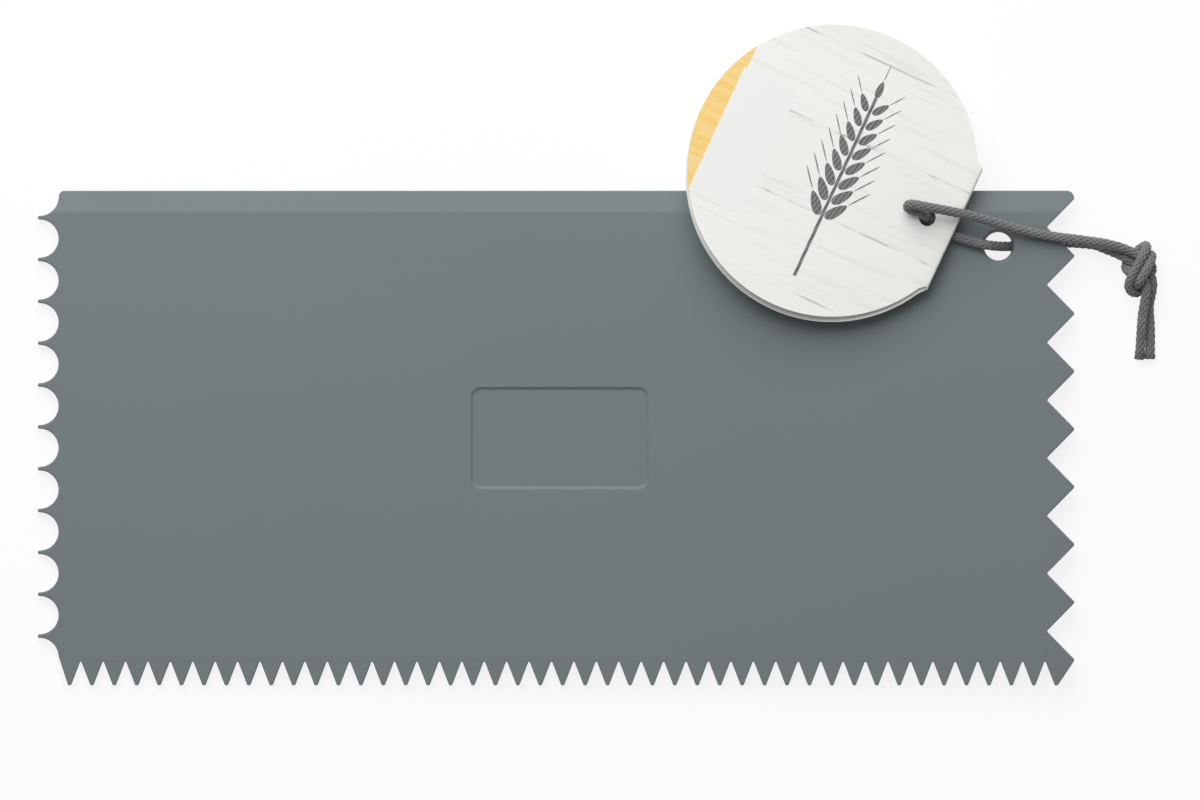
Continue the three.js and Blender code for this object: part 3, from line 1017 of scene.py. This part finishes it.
def knot_strands(places, cord):
    """Both strands through the overhand knot: the front strand first, from the blade to the tails."""
    # Each row is the middle of the pair, then half the way from the back strand to the front one.
    route = np.array([
        (-10.3, 5.5, 0.3, 0.0, 0.3, 2.42),
        (-6.7, 4.65, 0.25, 0.2, 0.55, 1.55),
        (-4.6, 3.95, 0.0, 0.4, 0.65, 0.85),
        (-1.9, 2.6, -0.6, 0.75, 0.45, 0.45),
        (0.2, -0.7, -1.0, 0.95, 0.2, 0.25),
        (0.8, -3.8, -1.2, 0.85, -0.5, 0.0),
        (-0.4, -5.1, -0.2, -0.1, -1.05, 0.0),
        (-0.9, -2.8, 1.6, -0.95, 0.2, 0.2),
        (0.6, 1.2, 2.6, -0.84, 0.63, 0.0),
        (2.5, 4.4, 1.6, -0.75, 0.6, 0.3),
        (2.8, 5.3, -0.9, -0.3, 1.0, 0.0),
        (0.9, 4.4, -2.4, -0.1, 1.0, -0.1),
        (-1.0, 2.3, -2.2, -0.75, 0.7, -0.2),
        (-1.1, 0.0, -0.7, -1.0, 0.1, 0.2),
        (0.5, -2.0, 0.6, -0.75, -0.65, 0.3),
        (1.2, -4.5, 0.3, -0.5, -0.1, 0.9),
        (1.05, -6.6, -1.05, -0.35, 0.0, 1.2),
        (0.95, -9.6, -1.35, -0.6, 0.0, 1.05),
    ]) * MM
    lowest = places.table(places.knot[0]) + cord.diameter / 2 + KNOT_OFF_TABLE - places.knot_height
    strands = [smooth_line(route[:, :3] + route[:, 3:]), smooth_line(route[:, :3] - route[:, 3:])]
    middle = np.array([*places.knot, places.knot_height])
    return [strand + middle for strand in tightened(strands, cord.diameter * KNOT_PACKING, lowest)]


def bight_route(places, cord):
    """From past the fold, along the front of the tag, back under itself and down through the tag's hole."""
    x, y = places.tag_hole / MM
    high = places.over_leaf / MM
    turn = (cord.diameter + 2 * cord.clearance) / MM
    return np.array([
        (x + 8.8, y + 0.5, high - 3.3 + turn),
        (x + 7.1, y + 0.85, high - 2.75 + turn),
        (x + 4, y + 1.45, high - 1.6 + turn),
        (x + 1, y + 2, high - 0.5 + turn),
        (x - 1.2, y + 2.4, high - 0.05 + turn),
        (x - 2.8, y + 2.75, high + turn),
        (x - 3.9, y + 2.8, high - 0.5 + turn),
        (x - 4.25, y + 2.3, high + 0.1 + turn / 2),
        (x - 3.9, y + 1.8, high + 0.75),
        (x - 3, y + 1.5, high + 0.2),
        (x - 1.8, y + 1.15, high + 0.1),
        (x - 0.75, y + 0.55, high - 0.45),
        (x - 0.3, y + 0.25, places.leaf_top / MM),
        (x - 0.3, y + 0.25, places.fold / MM),
    ]) * MM


def front_route(places):
    """From the knot, over the V comb and the face of the blade, up to the fold."""
    x, y = places.hole / MM
    high = places.over_blade / MM
    return np.array([
        (x + 16, y + 1.5, high),
        (x + 11, y + 2.15, high + 0.05),
        (x + 6, y + 3.2, high + 0.45),
        (x + 0.4, y + 4.65, high + 1.6),
    ]) * MM


def back_route(places, blade):
    """From the tag's hole along the back of the tag, down through the hanging hole and under the blade."""
    x, y = places.tag_hole / MM
    hole_x, hole_y = places.hole / MM
    high, low = places.over_blade / MM, places.under_blade / MM
    return np.array([
        (x - 0.3, y + 0.25, places.back_leaf / MM - 0.2),
        (x + 0.45, y - 0.35, high + 0.45),
        (x + 1.7, y - 1.25, high),
        (x + 5.4, y - 3.7, high),
        (hole_x - 5.4, hole_y + 0.9, high),
        (hole_x - 2.7, hole_y + 0.3, high - 0.1),
        (hole_x, hole_y, blade.thickness / 2 / MM),
        (hole_x + 2.7, hole_y, low + 0.2),
        (hole_x + 6, hole_y + 0.25, low),
        (hole_x + 13.5, hole_y + 0.8, low),
    ]) * MM


def tail_routes(places, cord):
    """The two cut ends, one above the other at the knot and side by side on the table."""
    start = places.knot[1] - places.KNOT_LENGTH / 2 - cord.clearance
    end = start - places.TAIL_REACH
    middle = (start + end) / 2
    apart = cord.diameter
    x = places.knot[0] + 1 * MM
    low = places.table(x + apart) + cord.diameter / 2 + cord.clearance / 5
    left = [(x - 0.9 * MM, middle, low + 1.7 * MM), (x - 1.25 * MM, end, low)]
    right = [(x + 1 * MM, middle, low), (x - 1.25 * MM + apart, end, low)]
    return np.array(left), np.array(right)


def cord_line(settings):
    """The whole cord, from the end of its left tail to the end of its right one, in the row frame."""
    places = Places(settings)
    front, back = knot_strands(places, settings.cord)
    left, right = tail_routes(places, settings.cord)
    points = np.vstack([
        left[::-1],
        front[::-KNOT_THINNING],
        front_route(places),
        bight_route(places, settings.cord),
        back_route(places, settings.blade),
        back[::KNOT_THINNING],
        right,
    ])
    return places.leaned(eased(evenly(smooth_line(points), settings.cord.step)))


WEAVE = 0.16
TIP_FLARE = 0.16
TIP_LENGTH = 2.2 * MM
YARN_SIDES = 6
CORE_SIDES = 8
CORE_INSET = 0.72


def braid_tree(inputs):
    """A braid along a line: yarns that wind both ways and pass over and under each other, round a core."""
    tree, g = new_tree("braided_cord", inputs)
    line = made(tree, "GeometryNodeMeshToCurve", {"Mesh": g["Geometry"]})
    amount = {"Geometry": line, "Amount": g["Yarns"]}
    copies = put(tree, "GeometryNodeDuplicateElements", amount, domain="SPLINE")
    number = out(copies, "Duplicate Index")
    along = out(put(tree, "GeometryNodeSplineParameter"), "Length")
    whole = out(put(tree, "GeometryNodeSplineLength"), "Length")
    flare = ramp(along.apply("MINIMUM", whole - along), 0.0, TIP_LENGTH, 1.0, 0.0)
    way = 1 - (number % 2) * 2
    each_way = g["Yarns"] * 0.5
    winding = along * (2 * math.pi) / g["Braid pitch"]
    turn = way * winding + (number * 0.5).whole() * (2 * math.pi) / each_way
    crest = way * (winding * each_way).cos()
    weave = g["Yarn"] * WEAVE
    radius = (g["Diameter"] - g["Yarn"]) * 0.5 - weave + weave * crest
    radius = radius * (flare * TIP_FLARE + 1)
    normal = made(tree, "GeometryNodeInputNormal")
    tangent = made(tree, "GeometryNodeInputTangent")
    side = made(tree, "ShaderNodeVectorMath", {0: tangent, 1: normal}, operation="CROSS_PRODUCT")
    ways = {0: scaled(normal, radius * turn.cos()), 1: scaled(side, radius * turn.sin())}
    marked = stored(out(copies), "yarn", number, "CURVE")
    for name, value in (("along", along), ("crest", crest), ("tip", flare)):
        marked = stored(marked, name, value)
    wound = placed(marked, Offset=made(tree, "ShaderNodeVectorMath", ways, operation="ADD"))
    around = out(put(tree, "GeometryNodeSplineParameter"), "Factor")
    section = stored(circle(YARN_SIDES, g["Yarn"] * 0.5), "around", around)
    middle = circle(CORE_SIDES, g["Diameter"] * 0.5 - g["Yarn"] * CORE_INSET)
    both = joined(swept(wound, section, caps=True), swept(line, middle, caps=True))
    return end_tree(made(tree, "GeometryNodeSetShadeSmooth", {"Geometry": both}), g["Material"])


BIGHT_TURN_HEIGHT = 3.3 * MM
BIGHT_TURN_LENGTH = 1.1 * MM
BIGHT_TURN_LEAN = 0.6


class SCRAPER_OT_cord(bpy.types.Operator):
    """Makes the braided cord with its knot, bight and tails"""

    bl_idname = "scraper.cord"
    bl_label = "Make Cord"

    def execute(self, context):
        settings = context.scene.scraper
        leaf = Leaf(settings)
        line = cord_line(settings)
        start = bpy.data.meshes.new("cord_line")
        start.from_pydata(line.tolist(), [(i, i + 1) for i in range(len(line) - 1)], [])
        mesh = run_tree(braid_tree, settings.cord, cotton_material(settings.cord), start)
        cord = new_object("cord_braid", mesh)
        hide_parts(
            "cord_bight",
            "cord_front_strand",
            "cord_back_strand",
            "cord_knot",
            "cord_left_tail",
            "cord_right_tail",
        )
        # The turn of the bight on the front leaf: a point over the fold, and the way from the fold's side up
        # into the leaf.
        fold = leaf.places.fold
        low = leaf.in_row(0.0, 0.0, fold + BIGHT_TURN_HEIGHT)
        rise = leaf.in_row(-BIGHT_TURN_LEAN, 0.0, fold + 1.0) - leaf.in_row(0.0, 0.0, fold)
        rise *= BIGHT_TURN_LENGTH / (rise @ rise)
        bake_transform(cord)
        return {"FINISHED"}


# Materials

CELL_SHARE = 0.6
GRAIN_DEPTH = 0.03 * MM
FIBRE_DEPTH = 0.08 * MM


def noise(place, detail, scale=1.0, distortion=0.0):
    inputs = {"Vector": place, "Scale": scale, "Detail": detail, "Distortion": distortion}
    return out(put(place.tree, "ShaderNodeTexNoise", inputs), "Fac")


def soft_mottle(name):
    """Soft light and dark patches over a colour."""
    inputs = {"Vector": "Vector", "Color": "Color", "Scale": "Float", "Amount": "Float"}
    group, g = new_group("ShaderNodeTree", name, inputs, {"Color": "Color", "Value": "Float"})
    value = noise(g["Vector"], detail=5.0, scale=g["Scale"])
    bright = 1 + (value - 0.5) * 2 * g["Amount"]
    put(group, "NodeGroupOutput", {"Color": scaled(g["Color"], bright), "Value": value})
    return group


def fine_grain(name):
    """A fine even grain, as the surface of a mould or of pressed paper has it."""
    inputs = {"Vector": "Vector", "Scale": "Float", "Coarse": "Float"}
    group, g = new_group("ShaderNodeTree", name, inputs, {"Height": "Float"})
    cells = {"Vector": g["Vector"], "Scale": g["Scale"]}
    distance = made(group, "ShaderNodeTexVoronoi", cells, feature="SMOOTH_F1")
    waves = noise(g["Vector"], detail=3.0, scale=g["Coarse"])
    put(group, "NodeGroupOutput", {"Height": distance * CELL_SHARE + waves * (1 - CELL_SHARE)})
    return group


def grouped(tree, make, **inputs):
    """A node of a shader group that materials share, which is made when it is first asked for."""
    group = bpy.data.node_groups.get(make.__name__) or make(make.__name__)
    return put(tree, "ShaderNodeGroup", inputs, node_tree=group)


def new_material(name):
    """A new material: returns it with its principled shader and the place on the object."""
    material = bpy.data.materials.new(name)
    material.use_nodes = True
    tree = material.node_tree
    return material, tree.nodes["Principled BSDF"], out(put(tree, "ShaderNodeTexCoord"), "Object")


def mottled(shader, place, colour, scale, amount):
    """Gives a shader a mottled colour, and returns the mottling."""
    node = grouped(shader.id_data, soft_mottle, Vector=place, Color=colour, Scale=scale, Amount=amount)
    feed(shader.inputs["Base Color"], out(node, "Color"))
    return out(node, "Value")


def bump(shader, height, strength, distance):
    inputs = {"Height": height, "Strength": strength, "Distance": distance}
    feed(shader.inputs["Normal"], made(shader.id_data, "ShaderNodeBump", inputs))


def grained(shader, place, scale, coarse, strength):
    """Gives a shader a fine grain, and returns its height."""
    height = out(grouped(shader.id_data, fine_grain, Vector=place, Scale=scale, Coarse=coarse), "Height")
    bump(shader, height, strength, distance=GRAIN_DEPTH)
    return height


def mixed(share, first, second):
    """A mix of two colours."""
    return out(put(share.tree, "ShaderNodeMix", {0: share, 6: first, 7: second}, data_type="RGBA"), 2)


def stretched(place, *scale):
    return made(place.tree, "ShaderNodeMapping", {"Vector": place, "Scale": scale})


def white_noise(value):
    return made(value.tree, "ShaderNodeTexWhiteNoise", {"W": value}, noise_dimensions="1D")


def plastic_material(settings):
    """Satin moulded plastic with a fine mould grain, faint flow marks and light scuffs."""
    material, shader, place = new_material("satin_grey_plastic")
    mottle = mottled(shader, place, linear(settings.colour), scale=14.0, amount=0.035)
    streaks = noise(stretched(place, 25, 600, 60), detail=4.0)
    scuff = ramp(streaks, 0.62, 0.72, 0.0, 0.07)
    feed(shader.inputs["Roughness"], 0.5 + mottle * 0.06 + scuff)
    grained(shader, place, scale=2400.0, coarse=700.0, strength=0.4)
    shader.inputs["Specular IOR Level"].default_value = 0.28
    return material


def card_surface(shader, place):
    """The fibre grain and soft sheen that both sides of the card share."""
    height = grained(shader, place, scale=2600.0, coarse=350.0, strength=0.15)
    feed(shader.inputs["Roughness"], 0.48 + height * 0.12)


def plain_card_material(settings):
    """The unprinted inside and the cut edge of the card."""
    material, shader, place = new_material("plain_card")
    card_surface(shader, place)
    mottled(shader, place, linear(settings.paper), scale=180.0, amount=0.02)
    return material


LABEL = {"across": (-26.3, -13.8), "along": (-15.9, 12.7)}
LABEL_BLUR = 0.1
LABEL_WHITE = (0.955, 0.955, 0.95)
SEGMENT_EDGE = -25.7 * MM
SEGMENT_BLUR = 0.15 * MM
SEGMENT_WASH = (0.99, 0.93, 0.78)
PLANK_OFFSET = 9 * MM
PLANK_SHIFT = 7.7
WORN_PATCHES = 110
WORN_GREY = (0.55, 0.55, 0.54)
HATCH_TURN = math.radians(38)
HATCH_PITCH = 0.85 * MM
HATCH_GREY = (0.62, 0.62, 0.61)


def printed_material(settings):
    """The printed side of the card: pale planks, a warm segment at the far edge and a blank label."""
    material, shader, place = new_material("printed_card")
    card_surface(shader, place)
    tree = shader.id_data
    flat = made(tree, "ShaderNodeUVMap", uv_map="card")
    across, along = flat_parts(flat)
    grain = noise(stretched(flat, 45, 900, 1), detail=6.0, distortion=0.35)
    lines = ramp(grain, 0.5, 0.74, 0.0, 0.14)
    plank = (along + PLANK_OFFSET) / settings.plank
    seam_place = ((plank + 0.5) % 1 - 0.5).absolute() * settings.plank
    on_seam = vector(tree, across * WORN_PATCHES, (plank + 0.5).whole() * PLANK_SHIFT)
    patches = noise(on_seam, detail=3.0)
    shown = ramp(patches, 0.42, 0.62, 0.08, 1.0)
    seam = ramp(seam_place, 0.08 * MM, 0.34 * MM, 0.5, 0.0) * shown
    worn = lines + seam + white_noise(plank.whole()) * 0.05
    boards = mixed(worn, linear(settings.paper), linear(WORN_GREY))
    in_segment = ramp(across, SEGMENT_EDGE - SEGMENT_BLUR, SEGMENT_EDGE + SEGMENT_BLUR, 1.0, 0.0)
    wash = ramp(grain, 0.35, 0.7, 0.0, 0.35) + seam
    warm = mixed(wash, linear(settings.sun), linear(SEGMENT_WASH))
    coloured = mixed(in_segment, boards, warm)
    inside = 1.0
    for value, (low, high) in ((across, LABEL["across"]), (along, LABEL["along"])):
        inside = ramp(value, (low - LABEL_BLUR) * MM, (low + LABEL_BLUR) * MM, 0.0, 1.0) * inside
        inside = ramp(value, (high - LABEL_BLUR) * MM, (high + LABEL_BLUR) * MM, 1.0, 0.0) * inside
    feed(shader.inputs["Base Color"], mixed(inside, coloured, linear(LABEL_WHITE)))
    return material


def ink_material(settings):
    """Dark printed ink, hatched and a little uneven."""
    material, shader, place = new_material("printed_ink")
    turned = made(place.tree, "ShaderNodeMapping", {"Vector": place, "Rotation": (0, 0, HATCH_TURN)})
    across, _ = flat_parts(turned)
    stripe = (across / HATCH_PITCH % 1 - 0.5).absolute()
    hatch = ramp(stripe, 0.16, 0.24, 0.0, 0.45)
    striped = mixed(hatch, linear(settings.ink), linear(HATCH_GREY))
    mottle = mottled(shader, place, striped, scale=900.0, amount=0.12)
    feed(shader.inputs["Roughness"], 0.45 + mottle * 0.15)
    return material


FIBRES_ALONG = 900
FIBRES_AROUND = 14
YARN_SHIFT = 7.3


def cotton_material(settings):
    """Waxed cotton: fibres along each yarn, a tone for each, painted shade in the hollows between the yarns'
    crests, and darker at the cut ends.
    """
    material, shader, place = new_material("waxed_cotton")
    tree = shader.id_data
    along, around, yarn, crest, tip = (
        out(put(tree, "ShaderNodeAttribute", attribute_name=name), "Fac")
        for name in ("along", "around", "yarn", "crest", "tip")
    )
    on_yarn = vector(tree, along * FIBRES_ALONG, around * FIBRES_AROUND, yarn * YARN_SHIFT)
    fibre = noise(on_yarn, detail=4.0)
    # The crest term is painted light: yarns are lighter where they ride over, with painted shade in the
    # hollows between them.
    bright = 0.78 + fibre * 0.3 + white_noise(yarn) * 0.12 + crest * 0.12
    bright = bright * (1 - tip * 0.45)
    mottled(shader, place, scaled(linear(settings.colour)[:3], bright), scale=260.0, amount=0.18)
    feed(shader.inputs["Roughness"], 0.5 + fibre * 0.3)
    shader.inputs["Sheen Weight"].default_value = 0.15
    bump(shader, fibre, strength=0.5, distance=FIBRE_DEPTH)
    return material


WHITE = (1, 1, 1, 1)
SEEN_FLOOR = 0.85


def seen_rays(tree):
    """1 for rays that show the surroundings as they are: from the camera, mirrored or through glass."""
    path = put(tree, "ShaderNodeLightPath")
    mirrored = out(path, "Is Glossy Ray").apply("MAXIMUM", out(path, "Is Transmission Ray"))
    return out(path, "Is Camera Ray").apply("MAXIMUM", mirrored)


def show_instead(tree, share, lit, seen, end):
    """Shows one shader in place of another by a share, at the end of a tree."""
    mix = made(tree, "ShaderNodeMixShader", {0: share, 1: lit.outputs[0], 2: seen.outputs[0]})
    feed(tree.nodes[end].inputs["Surface"], mix)


def floor_material(settings):
    """A plain pale floor that keeps a light shadow of the object."""
    material, shader, place = new_material("pale_floor")
    tree = shader.id_data
    mottled(shader, place, linear(settings.floor), scale=3.0, amount=0.004)
    shader.inputs["Roughness"].default_value = 0.9
    shader.inputs["Specular IOR Level"].default_value = 0.0
    white = put(tree, "ShaderNodeEmission", {"Color": WHITE, "Strength": 1.0})
    show_instead(tree, seen_rays(tree) * SEEN_FLOOR, shader, white, "Material Output")
    return material


# Stage


def make_camera(settings, height):
    data = bpy.data.cameras.new("photo_camera")
    data.sensor_width = 36
    data.lens = data.sensor_width * settings.camera_height / settings.view_width
    data.clip_end = 100
    camera = new_object("photo_camera", data)
    camera.location = (settings.view_x, settings.view_y, height + settings.camera_height)
    bpy.context.scene.camera = camera


def make_key(settings):
    """A soft lamp from beyond the straight edge, a little towards the spiked one."""
    distance, elevation, bearing = settings.key_distance, settings.key_elevation, settings.key_bearing
    data = bpy.data.lights.new("key", "AREA")
    data.shape = "SQUARE"
    data.size = settings.key_size
    # A white surface facing up reaches the key's share of full white.
    data.energy = settings.key_level * math.pi**2 * distance**2 / math.sin(elevation)
    lamp = new_object("key", data)
    reach, height = distance * math.cos(elevation), distance * math.sin(elevation)
    lamp.location = (-reach * math.sin(bearing), reach * math.cos(bearing), height)
    lamp.rotation_euler = (elevation - math.pi / 2, 0, bearing)


def make_sky(settings):
    """Even light from all round, and plain white wherever the sky itself is seen."""
    world = bpy.data.worlds.new("studio")
    bpy.context.scene.world = world
    world.use_nodes = True
    tree = world.node_tree
    light = tree.nodes["Background"]
    light.inputs["Strength"].default_value = settings.sky_level
    light.inputs["Color"].default_value = WHITE
    seen = put(tree, "ShaderNodeBackground", {"Strength": 1.0, "Color": WHITE})
    show_instead(tree, seen_rays(tree), light, seen, "World Output")


def make_floor(settings):
    half = settings.floor_size / 2
    mesh = bpy.data.meshes.new("floor")
    corners = [(-half, -half, 0), (half, -half, 0), (half, half, 0), (-half, half, 0)]
    mesh.from_pydata(corners, [], [(0, 1, 2, 3)])
    mesh.materials.append(floor_material(settings))
    new_object("floor", mesh)


class SCRAPER_OT_stage(bpy.types.Operator):
    """Makes the camera, the lamps and the floor"""

    bl_idname = "scraper.stage"
    bl_label = "Set Stage"

    def execute(self, context):
        settings = context.scene.scraper
        context.scene.view_settings.view_transform = "Standard"
        make_camera(settings.stage, settings.blade.thickness)
        make_key(settings.stage)
        make_sky(settings.stage)
        make_floor(settings.stage)
        return {"FINISHED"}


OPERATORS = (SCRAPER_OT_stage, SCRAPER_OT_blade, SCRAPER_OT_tag, SCRAPER_OT_print, SCRAPER_OT_cord)


class SCRAPER_PT_panel(bpy.types.Panel):
    """Lists the pieces of the scraper"""

    bl_idname = "SCRAPER_PT_panel"
    bl_label = "Dough Scraper"
    bl_space_type = "VIEW_3D"
    bl_region_type = "UI"
    bl_category = "Scraper"

    def draw(self, context):
        for operator in OPERATORS:
            self.layout.operator(operator.bl_idname)


CLASSES = (
    BladeSettings,
    TagSettings,
    CordSettings,
    StageSettings,
    ScraperSettings,
    *OPERATORS,
    SCRAPER_PT_panel,
)


def register():
    for entry in CLASSES:
        bpy.utils.register_class(entry)
    bpy.types.Scene.scraper = PointerProperty(type=ScraperSettings)


def unregister():
    del bpy.types.Scene.scraper
    for entry in reversed(CLASSES):
        bpy.utils.unregister_class(entry)


def main():
    register()
    bpy.ops.scraper.stage()
    bpy.ops.scraper.blade()
    bpy.ops.scraper.tag()
    bpy.ops.scraper.print()
    bpy.ops.scraper.cord()


if __name__ == "__main__":
    main()
